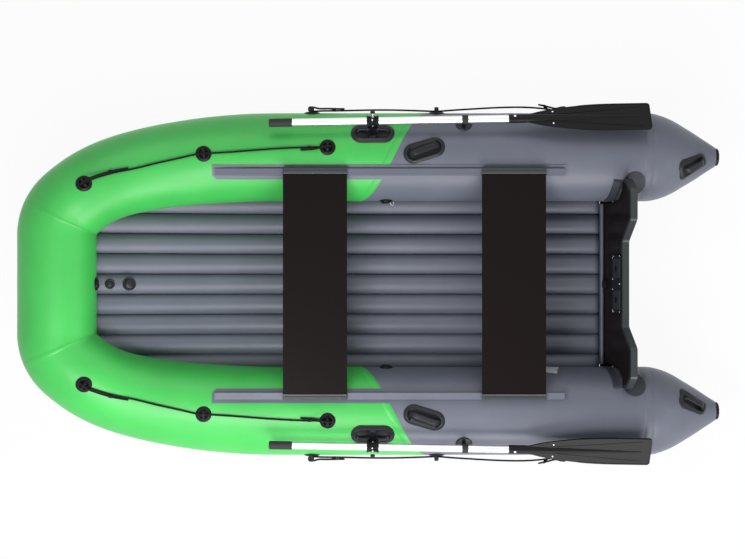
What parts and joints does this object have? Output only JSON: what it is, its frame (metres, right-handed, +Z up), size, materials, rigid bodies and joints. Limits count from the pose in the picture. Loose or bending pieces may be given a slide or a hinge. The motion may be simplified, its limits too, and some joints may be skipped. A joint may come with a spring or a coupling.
{
  "type": "inflatable boat",
  "caption": "Inflatable boat with round side tubes, an air floor, sliding thwarts, a leaning transom, grab lines and oars in tilting rowlocks.",
  "frame": {"origin": "on the ground, under the middle of the boat's length and beam", "axes": "+X to the bow, +Y to port, +Z up"},
  "size_m": [3, 1.5658, 0.5233],
  "materials": {
    "green_fabric": "matte coated fabric",
    "grey_fabric": "matte coated fabric",
    "dark_fabric": "woven webbing and coated fabric",
    "black_plastic": "moulded, slightly rough",
    "grey_plastic": "extruded, satin",
    "black_rope": "braided polyester rope, 8 mm",
    "black_rubber": "matte",
    "plywood": "dark film-faced, satin",
    "aluminium_tube": "anodised, satin",
    "steel": "bright"
  },
  "bodies": {
    "hull": {"bow_tube": "green_fabric", "tube_fore_starboard": "green_fabric", "tube_fore_port": "green_fabric", "tube_aft_starboard": "grey_fabric", "tube_aft_port": "grey_fabric", "stern_cone_starboard": "grey_fabric", "stern_cone_port": "grey_fabric", "floor_mat": "grey_fabric", "seat_rail_starboard": "grey_fabric", "seat_rail_port": "grey_fabric", "keel_strip": "dark_fabric", "carry_handle_starboard": "dark_fabric", "carry_handle_port": "dark_fabric", "stern_handle_starboard": "dark_fabric", "stern_handle_port": "dark_fabric", "cone_caps": "black_plastic", "transom_holder_starboard": "black_plastic", "transom_holder_port": "black_plastic", "rowlock_base_starboard": "black_plastic", "rowlock_base_port": "black_plastic", "oar_keeper_starboard": "black_plastic", "oar_keeper_port": "black_plastic", "line_eyes_starboard": "black_plastic", "line_eyes_port": "black_plastic", "floor_valve": "black_plastic", "relief_valve": "black_plastic", "chamber_valves": "black_plastic", "motor_pad_outer": "black_plastic", "motor_plate_inner": "black_plastic", "transom_drain": "black_plastic", "transom_trim": "black_plastic", "bow_line_starboard": "black_rope", "bow_line_port": "black_rope", "side_line_starboard": "black_rope", "side_line_port": "black_rope", "transom_board": "plywood"},
    "rowlock_starboard": {"rowlock_block_starboard": "black_plastic"},
    "oar_starboard": {"oar_collar_starboard": "black_plastic", "oar_screw_starboard": "steel", "oar_shaft_starboard": "aluminium_tube", "oar_grip_starboard": "black_rubber", "oar_blade_starboard": "black_plastic"},
    "rowlock_port": {"rowlock_block_port": "black_plastic"},
    "oar_port": {"oar_collar_port": "black_plastic", "oar_screw_port": "steel", "oar_shaft_port": "aluminium_tube", "oar_grip_port": "black_rubber", "oar_blade_port": "black_plastic"},
    "thwart_front": {"seat_board_front": "plywood", "seat_profile_front": "grey_plastic"},
    "thwart_rear": {"seat_board_rear": "plywood", "seat_profile_rear": "grey_plastic"}
  },
  "joints": [
    {"name": "rowlock_tilt_starboard", "type": "hinge", "parent": "hull", "child": "rowlock_starboard", "pos_m": [-0.003, -0.65713, 0.36829], "axis": [-1, 0, 0], "range_deg": [0, 28]},
    {"name": "oar_sweep_starboard", "type": "hinge", "parent": "rowlock_starboard", "child": "oar_starboard", "pos_m": [-0.003, -0.66846, 0.38715], "axis": [0, -0.515, 0.8572], "range_deg": [0, 139]},
    {"name": "rowlock_tilt_port", "type": "hinge", "parent": "hull", "child": "rowlock_port", "pos_m": [-0.003, 0.65713, 0.36829], "axis": [1, 0, 0], "range_deg": [0, 28]},
    {"name": "oar_sweep_port", "type": "hinge", "parent": "rowlock_port", "child": "oar_port", "pos_m": [-0.003, 0.66846, 0.38715], "axis": [0, -0.515, -0.8572], "range_deg": [0, 139]},
    {"name": "thwart_slide_front", "type": "slide", "parent": "hull", "child": "thwart_front", "axis": [1, 0, 0], "range_m": [-0.28, 0.28]},
    {"name": "thwart_slide_rear", "type": "slide", "parent": "hull", "child": "thwart_rear", "axis": [1, 0, 0], "range_m": [-0.075, 0.28]}
  ]
}
